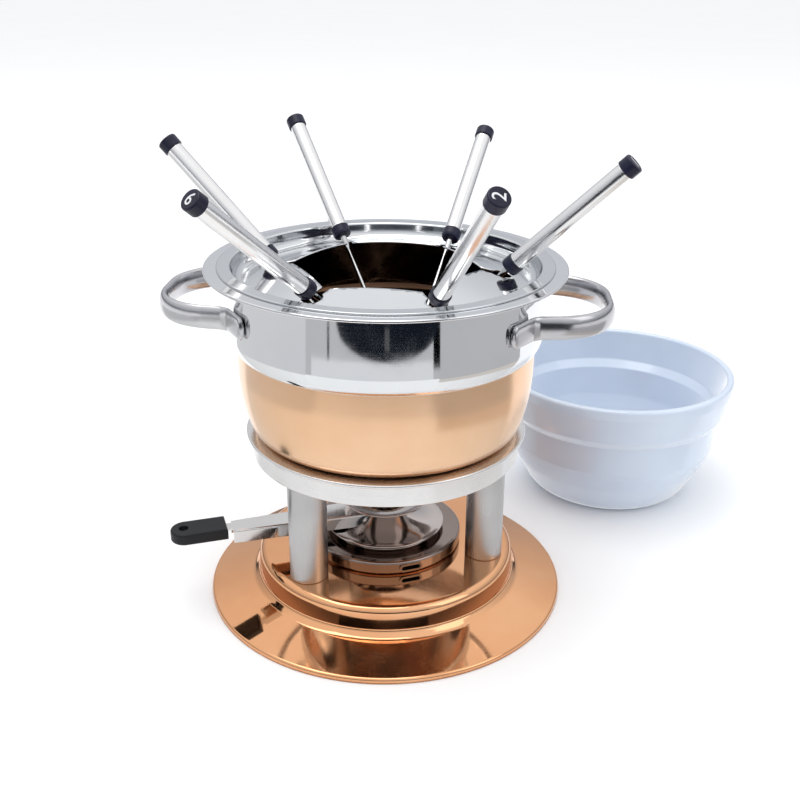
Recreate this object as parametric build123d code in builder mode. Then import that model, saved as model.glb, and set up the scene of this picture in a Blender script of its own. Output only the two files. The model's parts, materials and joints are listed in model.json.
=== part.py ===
"""Fondue pot set: copper stand with gel burner, pot with fork guard, six forks and a ceramic insert.

Millimetres, +Z up. The origin is the centre of the stand's underside, on the table. The front is -Y,
and the burner's lever points to -X.
"""

import os
from math import cos, radians, sin, sqrt, tan

from build123d import *

os.makedirs("parts", exist_ok=True)

# ---------------------------------------------------------------- driving dimensions
# Stand: a spun copper base, three tube posts and a pressed ring that carries the pot
brim_radius = 107.0
plinth_radius = 77.0
brim_edge_height = 2.8
brim_inner_edge = (81.0, 9.6)
plinth_foot = (77.6, 12.5)
platform_height = 27.0
copper_sheet = 1.5
underplate_radius = 99.0
underplate_thickness = 1.2
backing_radius = 70.0
backing_thickness = 3.0
post_circle_radius = 61.0
post_radius = 11.0
post_wall = 1.5
post_angles = {"post_front_left": 223.4, "post_front_right": 343.4, "post_back": 103.4}
ring_top = 105.5
ring_thickness = 2.0
ring_flange_radius = 81.2
ring_skirt_radius = 77.8
ring_skirt_thickness = 1.5
ring_skirt_bottom = 91.0
ring_opening_radius = 47.5
screw_shank_radius = 2.4
screw_clearance = 0.2
screw_bottom_gap = 3.0
screw_slot = (6.0, 1.2)
screw_head_radius = 4.5
screw_head_height = 3.0
screw_length = 16.0

# Pot: a steel vessel whose lower half sits in a copper shell
rim_top = 202.0
rim_radius = 100.0
band_radius = 88.3
steel_wall = 1.6
copper_wall = 1.0
seam_height = 157.0
seam_step = 0.8
shoulder_rise = 11.0
belly_radius = 83.9
belly_arc_radius = 110.0
belly_arc_height = 146.0
bottom_fillet = 9.0
handle_turn = -5.0
handle_height = 180.0
handle_reach = 124.0
handle_half_span = 36.5
handle_strip = (13.0, 3.6)
handle_tab_angle = 34.0
handle_tab_half_length = 9.0
handle_bend_radii = (7.0, 33.0, 33.0, 7.0)

# Fork guard: a drop-in ring with a trough and a cone that rises to a six-sided opening
guard_sheet = 1.0
guard_rim_radius = 92.8
guard_wall_radius = 86.1
guard_opening_apothem = 46.5
guard_opening_height = 201.2
guard_cone_slope = 12.5
guard_turn = 113.6
notch_circle_radius = 63.5
notch_radius = 5.6
notch_neck = 5.4
notch_neck_length = 12.0
guard_trough_width = 1.6

# Forks: number, distance from the axis, angle off its notch, azimuth and tilt of the fork
forks = (
    (4, 69.1, -0.2, 120.2, 45.8),
    (5, 67.8, 1.4, 68.8, 52.1),
    (1, 69.1, -0.2, 341.3, 45.5),
    (2, 69.0, -1.0, 291.6, 43.5),
    (6, 67.3, -0.6, 224.2, 49.6),
    (3, 66.8, -2.3, 156.8, 46.6),
)
fork_seat_gap = 6.4
fork_handle_top = 84.9
fork_tube_radius = 4.8
fork_tube_wall = 0.5
fork_cap_radius = 5.6
fork_cap_height = 6.5
fork_collar_radius = 5.5
fork_collar_height = 6.0
fork_plug_length = 8.0
fork_rod_radius = 1.3
fork_neck_radius = 1.9
fork_tip = 122.0
fork_head_length = 24.0
fork_head_width = 6.4
fork_head_thickness = 1.6
fork_tine_width = 1.6
fork_cross_bar = 5.0

# Gel burner and its regulator, which turns on the burner's collar
burner_centre = (-0.5, 2.5)
burner_pan_radius = 46.0
burner_pan_height = 8.2
burner_sheet = 1.0
burner_collar_radius = 32.0
burner_collar_top = 38.4
fuel_pad_radius = 30.5
gauze_thickness = 0.6
gauze_pitch = 5.0
gauze_hole_radius = 1.9
vent_slot_angle = -71.0
vent_slot_outer = (14.0, 5.0)
vent_slot_inner = (11.4, 2.6)
vent_slot_rise = 4.1
regulator_rest = 39.0
regulator_edge_radius = 35.7
regulator_flat_radius = 31.8
regulator_middle = (19.6, 42.9)
regulator_neck_radius = 12.5
regulator_neck_height = 49.5
mouth_radius = 24.4
mouth_height = 54.0
strap_angle = 196.6
strap_top = 48.9
strap_depth = 8.0
strap_sheet = 1.2
strap_inner_reach = 14.0
strap_outer_reach = 93.5
strap_widths = (19.0, 13.0)
tang_width = 7.0
grip_start = 97.0
grip_end = 129.0
grip_width = 17.0
grip_thickness = 7.0
grip_hole_radius = 2.8

# Ceramic insert, standing on the table behind the pot
insert_centre = (163.0, 131.0)
insert_radius = 82.5
insert_height = 89.0
insert_wall = 5.0
insert_lip_radius = 2.0


# ---------------------------------------------------------------- helpers
def sheet_section(points, radii, thickness, side=Side.RIGHT):
    """A bent sheet's section in the current sketch: a rounded line thickened to one side."""
    with BuildLine() as line:
        FilletPolyline(*points, radius=radii)
        offset(amount=thickness, side=side)
    make_face(line.edges())


def save(part, name):
    """Label one finished piece and write its STEP file."""
    part.label = name
    export_step(part, f"parts/{name}.step")


def polar_point(radius, angle, height=0.0):
    """A point at a distance from the axis, an angle from +X and a height."""
    return (radius * cos(radians(angle)), radius * sin(radians(angle)), height)


# ---------------------------------------------------------------- stand
platform_underside = platform_height - copper_sheet
backing_underside = platform_underside - backing_thickness
ring_underside = ring_top - ring_thickness
post_foot_points = [polar_point(post_circle_radius, angle) for angle in post_angles.values()]

with BuildPart() as base_skin:
    with BuildSketch(Plane.XZ):
        sheet_section(
            (
                (brim_radius, 0.0),
                (brim_radius, brim_edge_height),
                brim_inner_edge,
                plinth_foot,
                (plinth_radius, platform_height),
                (0.0, platform_height),
            ),
            (1.9, 5.0, 3.0, 4.5),
            copper_sheet,
            Side.LEFT,
        )
    revolve(axis=Axis.Z)
    with BuildSketch(Plane.XY.offset(platform_underside - 1.0)):
        with Locations(*post_foot_points):
            Circle(screw_shank_radius + screw_clearance)
    extrude(amount=copper_sheet + 2.0, mode=Mode.SUBTRACT)
save(base_skin.part, "base_skin")

with BuildPart() as base_backing_plate:
    with BuildSketch(Plane.XY.offset(backing_underside)):
        Circle(backing_radius)
        with Locations(*post_foot_points):
            Circle(screw_shank_radius + screw_clearance, mode=Mode.SUBTRACT)
    extrude(amount=backing_thickness)
save(base_backing_plate.part, "base_backing_plate")

# A thin flat disc inside the brim closes the hollow underside and lies on the table with the brim's edge
with BuildPart() as base_underplate:
    with BuildSketch(Plane.XY):
        Circle(underplate_radius)
    extrude(amount=underplate_thickness)
    chamfer(base_underplate.edges().group_by(Axis.Z)[-1], length=0.4)
save(base_underplate.part, "base_underplate")

with BuildPart() as stand_ring:
    with BuildSketch(Plane.XZ):
        with BuildLine():
            Polyline(
                (ring_opening_radius, ring_underside),
                (ring_opening_radius, ring_top),
                (ring_flange_radius, ring_top),
                (ring_flange_radius, ring_underside),
                (ring_skirt_radius, ring_underside),
                (ring_skirt_radius, ring_skirt_bottom),
                (ring_skirt_radius - ring_skirt_thickness, ring_skirt_bottom),
                (ring_skirt_radius - ring_skirt_thickness, ring_underside),
                close=True,
            )
        make_face()
    revolve(axis=Axis.Z)
    fillet(stand_ring.edges().filter_by(GeomType.CIRCLE).sort_by(SortBy.LENGTH)[-2:], radius=0.8)
save(stand_ring.part, "stand_ring")

for post_name, angle in post_angles.items():
    with BuildPart() as post:
        with BuildSketch(Plane.XY.offset(platform_height)):
            with Locations(polar_point(post_circle_radius, angle)):
                Circle(post_radius)
        extrude(amount=ring_underside - platform_height)
        with BuildSketch(Plane.XY.offset(platform_height + screw_length)):
            with Locations(polar_point(post_circle_radius, angle)):
                Circle(post_radius - post_wall)
        extrude(amount=ring_underside - platform_height - screw_length, mode=Mode.SUBTRACT)
        with BuildSketch(Plane.XY.offset(platform_height)):
            with Locations(polar_point(post_circle_radius, angle)):
                Circle(screw_shank_radius)
        extrude(amount=screw_length - screw_bottom_gap, mode=Mode.SUBTRACT)
    save(post.part, post_name)

with BuildPart() as base_screws:
    with BuildSketch(Plane.XY.offset(backing_underside - screw_head_height)):
        with Locations(*post_foot_points):
            Circle(screw_head_radius)
    extrude(amount=screw_head_height)
    chamfer(base_screws.edges().group_by(Axis.Z)[0], length=0.7)
    with BuildSketch(Plane.XY.offset(backing_underside - screw_head_height)):
        with Locations(*post_foot_points):
            SlotOverall(*screw_slot)
    extrude(amount=screw_slot[1], mode=Mode.SUBTRACT)
    with BuildSketch(Plane.XY.offset(backing_underside)):
        with Locations(*post_foot_points):
            Circle(screw_shank_radius)
    extrude(amount=screw_length)
save(base_screws.part, "base_screws")

# ---------------------------------------------------------------- pot
belly_centre = belly_radius - belly_arc_radius
vessel_bottom = ring_top


def belly_line(inset, top):
    """Belly section inside the outer skin by `inset`: wall from `top`, long arc, corner arc, bottom."""
    arc_radius = belly_arc_radius - inset
    corner = bottom_fillet - inset
    corner_z = vessel_bottom + bottom_fillet
    reach = sqrt((belly_arc_radius - bottom_fillet) ** 2 - (belly_arc_height - corner_z) ** 2)
    corner_r = belly_centre + reach
    tangent_angle = -(90.0 - Vector(belly_arc_height - corner_z, reach).get_angle(Vector(1, 0)))
    Line((belly_radius - inset, top), (belly_radius - inset, belly_arc_height))
    CenterArc((belly_centre, belly_arc_height), arc_radius, tangent_angle, -tangent_angle)
    CenterArc((corner_r, corner_z), corner, -90.0, 90.0 + tangent_angle)
    Line((corner_r, corner_z - corner), (0.0, corner_z - corner))


with BuildPart() as pot_copper_shell:
    with BuildSketch(Plane.XZ):
        with BuildLine():
            belly_line(0.0, seam_height)
            belly_line(copper_wall, seam_height)
            Line((belly_radius - copper_wall, seam_height), (belly_radius, seam_height))
            Line((0.0, vessel_bottom), (0.0, vessel_bottom + copper_wall))
        make_face()
    revolve(axis=Axis.Z)
save(pot_copper_shell.part, "pot_copper_shell")

vessel_wall = copper_wall + steel_wall
band_inner = band_radius - steel_wall
shoulder_height = seam_height + shoulder_rise
with BuildPart() as pot_vessel:
    with BuildSketch(Plane.XZ):
        with BuildLine():
            belly_line(copper_wall, seam_height)
            belly_line(vessel_wall, seam_height)
            Line((0.0, vessel_bottom + copper_wall), (0.0, vessel_bottom + vessel_wall))
            Line((belly_radius - copper_wall, seam_height), (belly_radius + seam_step, seam_height))
            ThreePointArc(
                (belly_radius + seam_step, seam_height),
                (band_radius - 1.2, seam_height + 4.4),
                (band_radius, shoulder_height),
            )
            FilletPolyline(
                (band_radius, shoulder_height),
                (band_radius, rim_top - steel_wall),
                (rim_radius, rim_top - steel_wall),
                radius=2.0,
            )
            Line((rim_radius, rim_top - steel_wall), (rim_radius, rim_top))
            FilletPolyline(
                (rim_radius, rim_top),
                (band_inner, rim_top),
                (band_inner, shoulder_height),
                radius=1.5,
            )
            ThreePointArc(
                (band_inner, shoulder_height),
                (band_inner - 1.4, seam_height + 4.4),
                (belly_radius - vessel_wall, seam_height),
            )
        make_face()
    revolve(axis=Axis.Z)
    fillet(pot_vessel.edges().filter_by(GeomType.CIRCLE).sort_by(SortBy.LENGTH)[-2:], radius=0.7)
save(pot_vessel.part, "pot_vessel")

strip_height, strip_thickness = handle_strip
tab_radius = band_radius + strip_thickness / 2 - 0.15
for handle_name, side_turn in (("pot_handle_right", 0.0), ("pot_handle_left", 180.0)):
    tab_u = tab_radius * cos(radians(handle_tab_angle))
    tab_v = tab_radius * sin(radians(handle_tab_angle))
    along_u = handle_tab_half_length * sin(radians(handle_tab_angle))
    along_v = handle_tab_half_length * cos(radians(handle_tab_angle))
    bend_u = tab_u + along_u * 1.25
    bend_v = tab_v - along_v * 1.25
    half_loop = (
        (tab_u - along_u, tab_v + along_v),
        (bend_u, bend_v),
        (handle_reach, handle_half_span),
    )
    other_half = [(u, -v) for u, v in reversed(half_loop)]
    with BuildPart() as pot_handle:
        with BuildLine(Plane.XY.offset(handle_height).rotated((0, 0, handle_turn + side_turn))) as loop:
            FilletPolyline(*half_loop, *other_half, radius=handle_bend_radii)
        with BuildSketch(Plane(origin=loop.line @ 0, z_dir=loop.line % 0, x_dir=(0, 0, 1))):
            RectangleRounded(strip_height, strip_thickness, radius=strip_thickness / 2 - 0.1)
        sweep(path=loop.line)
    save(pot_handle.part, handle_name)

# ---------------------------------------------------------------- fork guard
guard_top = rim_top + guard_sheet
guard_vertex_radius = guard_opening_apothem / cos(radians(30.0))


def guard_surface(radius):
    """Height of the guard's cone at a distance from the axis."""
    return guard_opening_height - (radius - guard_opening_apothem) * tan(radians(guard_cone_slope))


with BuildPart() as fork_guard:
    with BuildSketch(Plane.XZ):
        wall_inside = guard_wall_radius - guard_sheet
        trough_radius = wall_inside - guard_trough_width
        sheet_section(
            (
                (guard_rim_radius, guard_top),
                (wall_inside, guard_top),
                (trough_radius, guard_surface(trough_radius)),
                (guard_opening_apothem - 6.0, guard_surface(guard_opening_apothem - 6.0)),
            ),
            (1.2, 5.0),
            guard_sheet,
            Side.LEFT,
        )
    revolve(axis=Axis.Z)
    with BuildSketch(Plane.XY.offset(guard_top - 20.0)):
        Polygon(*[polar_point(guard_vertex_radius, guard_turn + 60.0 * i) for i in range(6)], align=None)
        with PolarLocations(notch_circle_radius, 6, start_angle=guard_turn):
            Circle(notch_radius)
        with PolarLocations(notch_circle_radius - notch_radius - 2.0, 6, start_angle=guard_turn):
            Rectangle(notch_neck_length, notch_neck)
    extrude(amount=30.0, mode=Mode.SUBTRACT)
save(fork_guard.part, "fork_guard")

# ---------------------------------------------------------------- forks
plug_radius = fork_tube_radius - fork_tube_wall - 0.05
collar_half = fork_collar_height / 2
tube_top = fork_handle_top - fork_cap_height


def tine_outline():
    """Outline of the two-tined head, width against distance along the fork."""
    half = fork_head_width / 2
    inner = half - fork_tine_width
    root = -(fork_tip - fork_head_length)
    crotch = root - fork_cross_bar - inner
    one_side = [
        (fork_rod_radius, root + 2.0),
        (half - 0.9, root - 3.2),
        (half, root - 5.2),
        (half, -fork_tip + 4.5),
        (half - 0.5, -fork_tip),
        (inner - 0.7, -fork_tip + 5.0),
        (inner, -fork_tip + 5.6),
        (inner, crotch),
    ]
    other_side = [(-width, height) for width, height in reversed(one_side)]
    return one_side + [(0.0, crotch + inner)] + other_side


for index, (number, seat_radius, seat_shift, azimuth, tilt) in enumerate(forks):
    seat_angle = guard_turn - 60.0 * index + seat_shift
    seat = Vector(*polar_point(seat_radius, seat_angle, guard_surface(seat_radius) + fork_seat_gap))
    lean = polar_point(sin(radians(tilt)), azimuth, cos(radians(tilt)))
    across = polar_point(cos(radians(tilt)), azimuth, -sin(radians(tilt)))
    fork_axis = Vector(*lean)
    head_across = Vector(*across)
    fork_plane = Plane(origin=seat, x_dir=head_across, z_dir=fork_axis)
    head_plane = Plane(origin=seat, x_dir=head_across, z_dir=head_across.cross(fork_axis))

    with BuildPart() as fork_handle:
        with BuildSketch(fork_plane.offset(collar_half)):
            Circle(fork_tube_radius)
            Circle(fork_tube_radius - fork_tube_wall, mode=Mode.SUBTRACT)
        extrude(amount=tube_top - collar_half)
    save(fork_handle.part, f"fork_{number}_handle")

    with BuildPart() as fork_cap:
        with BuildSketch(fork_plane.offset(tube_top)):
            Circle(fork_cap_radius)
        extrude(amount=fork_cap_height)
        fillet(fork_cap.edges().sort_by(Axis(seat, fork_axis))[-1], radius=0.8)
        with BuildSketch(fork_plane.offset(tube_top - fork_plug_length)):
            Circle(plug_radius)
        extrude(amount=fork_plug_length)
    save(fork_cap.part, f"fork_{number}_cap")

    with BuildPart() as fork_collar:
        with BuildSketch(fork_plane.offset(-collar_half)):
            Circle(fork_collar_radius)
        extrude(amount=fork_collar_height)
        fillet(fork_collar.edges().sort_by(Axis(seat, fork_axis))[0], radius=0.6)
        with BuildSketch(fork_plane.offset(collar_half)):
            Circle(plug_radius)
        extrude(amount=fork_plug_length)
        with BuildSketch(fork_plane.offset(-collar_half)):
            Circle(fork_rod_radius + 0.05)
        extrude(amount=fork_collar_height + fork_plug_length, mode=Mode.SUBTRACT)
    save(fork_collar.part, f"fork_{number}_collar")

    with BuildPart() as fork_rod:
        rod_end = fork_tip - fork_head_length - 1.0
        with BuildSketch(fork_plane.offset(-rod_end)):
            Circle(fork_rod_radius)
        extrude(amount=rod_end + collar_half + fork_plug_length + 3.0)
        with BuildSketch(fork_plane.offset(-collar_half - 0.1)):
            Circle(fork_neck_radius)
        extrude(amount=-10.0, taper=3.4)
        with BuildSketch(head_plane):
            Polygon(*tine_outline(), align=None)
        extrude(amount=fork_head_thickness / 2, both=True)
    save(fork_rod.part, f"fork_{number}_rod")

# ---------------------------------------------------------------- gel burner
burner_x, burner_y = burner_centre
burner_axis = Axis((burner_x, burner_y, 0.0), (0.0, 0.0, 1.0))
burner_section = Plane(origin=(burner_x, burner_y, 0.0), x_dir=(1, 0, 0), z_dir=(0, -1, 0))
pan_top = platform_height + burner_pan_height
collar_inside = burner_collar_radius - burner_sheet
slot_plane = Plane(
    origin=Vector(burner_x, burner_y, platform_height + vent_slot_rise)
    + Vector(*polar_point(burner_pan_radius, vent_slot_angle)),
    x_dir=polar_point(1.0, vent_slot_angle + 90.0),
    z_dir=polar_point(1.0, vent_slot_angle),
)

with BuildPart() as burner_pan:
    with BuildSketch(burner_section):
        sheet_section(
            (
                (0.0, platform_height),
                (burner_pan_radius, platform_height),
                (burner_pan_radius, pan_top),
                (burner_collar_radius, pan_top),
                (burner_collar_radius, burner_collar_top),
            ),
            (2.0, 1.6, 1.4),
            burner_sheet,
            Side.LEFT,
        )
    revolve(axis=burner_axis)
    with BuildSketch(slot_plane.offset(-1.0)):
        SlotOverall(*vent_slot_outer)
    extrude(amount=1.5)
    with BuildSketch(slot_plane.offset(-4.0)):
        SlotOverall(*vent_slot_inner)
    extrude(amount=6.0, mode=Mode.SUBTRACT)
save(burner_pan.part, "burner_pan")

pad_bottom = platform_height + burner_sheet
gauze_bottom = pan_top - burner_sheet - gauze_thickness
with BuildPart() as fuel_pad:
    with BuildSketch(Plane((burner_x, burner_y, pad_bottom))):
        Circle(fuel_pad_radius)
    extrude(amount=gauze_bottom - pad_bottom)
    chamfer(fuel_pad.edges().group_by(Axis.Z)[-1], length=0.6)
save(fuel_pad.part, "burner_fuel_pad")

gauze_holes = [
    (gauze_pitch * i, gauze_pitch * j)
    for i in range(-5, 6)
    for j in range(-5, 6)
    if i * i + j * j <= 26
]
with BuildPart() as burner_gauze:
    with BuildSketch(Plane((burner_x, burner_y, gauze_bottom))):
        Circle(collar_inside - 0.4)
        with Locations(*gauze_holes):
            Circle(gauze_hole_radius, mode=Mode.SUBTRACT)
    extrude(amount=gauze_thickness)
save(burner_gauze.part, "burner_gauze")

# ---------------------------------------------------------------- regulator
vent_ring_bottom = pan_top - 0.2
neck_start = (regulator_neck_radius, regulator_neck_height)
bell_rim_top = regulator_rest + 0.5
bell_rim_bottom = bell_rim_top - burner_sheet
with BuildPart() as regulator_bell:
    with BuildSketch(burner_section):
        with BuildLine():
            Line((regulator_edge_radius, bell_rim_top), (regulator_flat_radius, bell_rim_top))
            ThreePointArc((regulator_flat_radius, bell_rim_top), regulator_middle, neck_start)
            Line(neck_start, (regulator_neck_radius, regulator_neck_height + 1.0))
            offset(amount=burner_sheet, side=Side.LEFT)
        make_face()
    revolve(axis=burner_axis)
save(regulator_bell.part, "regulator_bell")

with BuildPart() as regulator_mouth:
    with BuildSketch(burner_section):
        with BuildLine():
            ThreePointArc(
                (regulator_neck_radius, regulator_neck_height + 1.0),
                (19.6, regulator_neck_height + 2.1),
                (mouth_radius, mouth_height),
            )
            offset(amount=burner_sheet, side=Side.LEFT)
        make_face()
    revolve(axis=burner_axis)
save(regulator_mouth.part, "regulator_mouth")

with BuildPart() as regulator_vent_ring:
    with BuildSketch(Plane((burner_x, burner_y, vent_ring_bottom))):
        Circle(collar_inside - 0.06)
        Circle(collar_inside - 1.0, mode=Mode.SUBTRACT)
    extrude(amount=bell_rim_bottom - vent_ring_bottom)
    with BuildSketch(Plane((burner_x, burner_y, vent_ring_bottom))):
        with PolarLocations(collar_inside - 0.5, 8):
            Rectangle(3.0, 7.0)
    extrude(amount=1.8, mode=Mode.SUBTRACT)
save(regulator_vent_ring.part, "regulator_vent_ring")

strap_direction = polar_point(1.0, strap_angle)
strap_plane = Plane(origin=(burner_x, burner_y, strap_top), x_dir=strap_direction, z_dir=(0, 0, 1))
half_wide = strap_widths[0] / 2
half_narrow = strap_widths[1] / 2
with BuildPart() as regulator_strap:
    with BuildSketch(strap_plane):
        Polygon(
            (strap_inner_reach, -half_wide),
            (strap_outer_reach, -half_narrow),
            (strap_outer_reach, half_narrow),
            (strap_inner_reach, half_wide),
            align=None,
        )
    extrude(amount=-strap_depth)
    fillet(regulator_strap.edges().group_by(Axis.Z)[-1].sort_by(SortBy.LENGTH)[-2:], radius=1.2)
    with BuildSketch(strap_plane.offset(-strap_depth)):
        Polygon(
            (strap_inner_reach - 2.0, strap_sheet - half_wide),
            (strap_outer_reach + 1.0, strap_sheet - half_narrow),
            (strap_outer_reach + 1.0, half_narrow - strap_sheet),
            (strap_inner_reach - 2.0, half_wide - strap_sheet),
            align=None,
        )
    extrude(amount=strap_depth - strap_sheet, mode=Mode.SUBTRACT)
    with BuildSketch(strap_plane):
        with Locations(((strap_outer_reach + grip_start + 16.0) / 2, 0.0)):
            Rectangle(grip_start + 18.0 - strap_outer_reach, tang_width)
    extrude(amount=-strap_sheet)
    # The inner end is shaped to the bell and the neck
    with BuildSketch(burner_section):
        with BuildLine():
            Polyline(neck_start, (regulator_neck_radius, strap_top + 5.0), (0.0, strap_top + 5.0))
            Polyline((0.0, strap_top + 5.0), (0.0, bell_rim_top), (regulator_flat_radius, bell_rim_top))
            ThreePointArc((regulator_flat_radius, bell_rim_top), regulator_middle, neck_start)
        make_face()
    revolve(axis=burner_axis, mode=Mode.SUBTRACT)
save(regulator_strap.part, "regulator_strap")

grip_bottom = strap_top - strap_sheet / 2 - grip_thickness / 2
with BuildPart() as regulator_grip:
    with BuildSketch(strap_plane.offset(grip_bottom - strap_top)):
        with Locations(((grip_start + grip_end - grip_width / 2) / 2, 0.0)):
            Rectangle(grip_end - grip_start - grip_width / 2, grip_width)
        with Locations((grip_end - grip_width / 2, 0.0)):
            Circle(grip_width / 2)
    extrude(amount=grip_thickness)
    fillet(regulator_grip.edges().group_by(Axis.Z)[0], radius=1.2)
    fillet(regulator_grip.edges().group_by(Axis.Z)[-1], radius=1.2)
    with BuildSketch(strap_plane.offset(grip_bottom - strap_top)):
        with Locations((grip_end - 7.5, 0.0)):
            Circle(grip_hole_radius)
    extrude(amount=grip_thickness, mode=Mode.SUBTRACT)
    with BuildSketch(strap_plane):
        with Locations((grip_start + 8.5, 0.0)):
            Rectangle(18.0, tang_width)
    extrude(amount=-strap_sheet, mode=Mode.SUBTRACT)
save(regulator_grip.part, "regulator_grip")

# ---------------------------------------------------------------- ceramic insert
insert_x, insert_y = insert_centre
insert_axis = Axis((insert_x, insert_y, 0.0), (0.0, 0.0, 1.0))
insert_section = Plane(origin=(insert_x, insert_y, 0.0), x_dir=(1, 0, 0), z_dir=(0, -1, 0))
outer_profile = ((0.0, 0.0), (54.0, 0.0), (66.5, 22.0), (71.6, 33.0), (73.2, 38.0), (73.8, 58.0))
outer_radii = (14.0, 20.0, 3.0, 3.0)
with BuildPart() as ceramic_insert:
    with BuildSketch(insert_section):
        with BuildLine() as outer_line:
            FilletPolyline(
                *outer_profile,
                (78.6, 64.0),
                (insert_radius, insert_height - 7.0),
                (insert_radius, insert_height),
                radius=(*outer_radii, 2.5, 4.0, 3.0),
            )
            FilletPolyline(
                (0.0, insert_wall),
                (50.0, insert_wall),
                (61.5, 23.0),
                (67.6, 40.0),
                (68.6, 61.0),
                (73.4, 66.5),
                (insert_radius - insert_wall, insert_height),
                radius=(12.0, 20.0, 8.0, 2.0, 3.0),
            )
            Line((insert_radius - insert_wall, insert_height), (insert_radius, insert_height))
            Line((0.0, 0.0), (0.0, insert_wall))
        make_face()
    revolve(axis=insert_axis)
    fillet(ceramic_insert.edges().group_by(Axis.Z)[-1], radius=insert_lip_radius)
save(ceramic_insert.part, "ceramic_insert")
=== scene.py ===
"""Looks of the fondue pot set: smooth meshes, procedural materials, floor, light and camera.

Lengths in the profiles are millimetres, as in the CAD source; everything in Blender is in metres.
"""

import json
from math import atan2, ceil, cos, degrees, hypot, pi, radians, sin, tan

import bmesh
import bpy
from mathutils import Matrix, Vector
from mathutils.geometry import delaunay_2d_cdt


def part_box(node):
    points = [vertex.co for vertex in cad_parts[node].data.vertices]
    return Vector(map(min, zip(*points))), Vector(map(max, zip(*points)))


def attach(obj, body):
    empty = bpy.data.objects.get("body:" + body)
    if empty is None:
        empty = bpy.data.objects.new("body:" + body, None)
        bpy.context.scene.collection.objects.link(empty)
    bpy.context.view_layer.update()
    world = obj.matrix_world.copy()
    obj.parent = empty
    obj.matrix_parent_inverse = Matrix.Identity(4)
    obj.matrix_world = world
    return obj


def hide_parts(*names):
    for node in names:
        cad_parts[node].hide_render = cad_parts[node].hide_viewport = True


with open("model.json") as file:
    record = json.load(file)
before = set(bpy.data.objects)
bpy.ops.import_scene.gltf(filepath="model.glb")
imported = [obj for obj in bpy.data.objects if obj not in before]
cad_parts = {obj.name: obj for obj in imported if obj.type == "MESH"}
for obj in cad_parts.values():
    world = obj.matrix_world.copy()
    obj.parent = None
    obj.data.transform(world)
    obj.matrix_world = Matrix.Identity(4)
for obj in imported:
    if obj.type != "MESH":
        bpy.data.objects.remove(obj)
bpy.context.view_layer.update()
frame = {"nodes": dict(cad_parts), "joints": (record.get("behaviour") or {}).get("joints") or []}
scene = bpy.context.scene
MM = 0.001
SEGMENTS = 288  # steps round a turned piece
FINE_SEGMENTS = 384  # steps round the widest, shiniest pieces
SUPPORT_RUN = 0.25  # the short straight run that keeps a rounded corner's shading crisp, in mm


# ---------------------------------------------------------------- places read from the frame
def centre_of(node):
    low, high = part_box(node)
    return (low + high) / 2


base_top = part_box("base_skin")[1].z / MM
burner_mid = centre_of("burner_pan")
insert_mid = centre_of("ceramic_insert")
burner_place = Vector((burner_mid.x, burner_mid.y, 0.0))
insert_place = Vector((insert_mid.x, insert_mid.y, 0.0))
joints = {joint["name"]: joint for joint in frame["joints"]}


# ---------------------------------------------------------------- line helpers, in mm
def rounded(points, radii, step=5.0):
    """A line through points with its corners rounded; radii is one number, or one for each corner.

    Each arc turns by about step degrees from point to point, and has a short run at both ends.
    """
    points = [Vector(p) for p in points]
    line = [points[0]]
    for i in range(1, len(points) - 1):
        radius = radii[i - 1] if isinstance(radii, (tuple, list)) else radii
        before, corner, after = points[i - 1], points[i], points[i + 1]
        a, b = (before - corner).normalized(), (after - corner).normalized()
        turn = pi - a.angle(b)
        if radius < 1e-6 or turn < 1e-4:
            line.append(corner)
            continue
        back = radius * tan(turn / 2)
        start, end = corner + a * back, corner + b * back
        middle = corner + (a + b).normalized() * (radius / cos(turn / 2))
        steps = max(3, ceil(degrees(turn) / step))
        line.append(start + a * SUPPORT_RUN)
        u, v = start - middle, end - middle
        side = u.x * v.y - u.y * v.x
        for k in range(steps + 1):
            angle = turn * k / steps * (1 if side > 0 else -1)
            arm = (u.x * cos(angle) - u.y * sin(angle), u.x * sin(angle) + u.y * cos(angle))
            line.append(middle + Vector(arm))
        line.append(end + b * SUPPORT_RUN)
    line.append(points[-1])
    return line


def arc_through(a, b, c, steps=16):
    """Points on the arc from a through b to c."""
    a, b, c = Vector(a), Vector(b), Vector(c)
    d = 2 * (a.x * (b.y - c.y) + b.x * (c.y - a.y) + c.x * (a.y - b.y))
    ux = (a.dot(a) * (b.y - c.y) + b.dot(b) * (c.y - a.y) + c.dot(c) * (a.y - b.y)) / d
    uy = (a.dot(a) * (c.x - b.x) + b.dot(b) * (a.x - c.x) + c.dot(c) * (b.x - a.x)) / d
    centre = Vector((ux, uy))
    start, end = atan2(a.y - uy, a.x - ux), atan2(c.y - uy, c.x - ux)
    through = atan2(b.y - uy, b.x - ux)
    sweep = (end - start) % (2 * pi)
    if (through - start) % (2 * pi) > sweep:
        sweep -= 2 * pi
    radius = (a - centre).length
    return [
        centre + Vector((cos(start + sweep * k / steps), sin(start + sweep * k / steps))) * radius
        for k in range(steps + 1)
    ]


def beside(line, distance):
    """The line moved sideways: to its left for a positive distance."""
    moved = []
    for i, p in enumerate(line):
        runs = []
        if i > 0 and (p - line[i - 1]).length > 1e-7:
            runs.append((p - line[i - 1]).normalized())
        if i < len(line) - 1 and (line[i + 1] - p).length > 1e-7:
            runs.append((line[i + 1] - p).normalized())
        normals = [Vector((-run.y, run.x)) for run in runs]
        normal = sum(normals, Vector((0.0, 0.0))).normalized()
        moved.append(p + normal * (distance / max(0.5, normal.dot(normals[0]))))
    return moved


def round_end(tip, far, inward):
    """Points round a sheet's end, from beside tip to beside far; inward runs back along it."""
    outward = -inward.normalized()
    half = (far - tip) / 2
    middle = (far + tip) / 2 - outward * half.length
    steps = 6
    turns = [pi * k / steps for k in range(steps + 1)]
    return [middle - half * cos(turn) + outward * half.length * sin(turn) for turn in turns]


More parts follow.
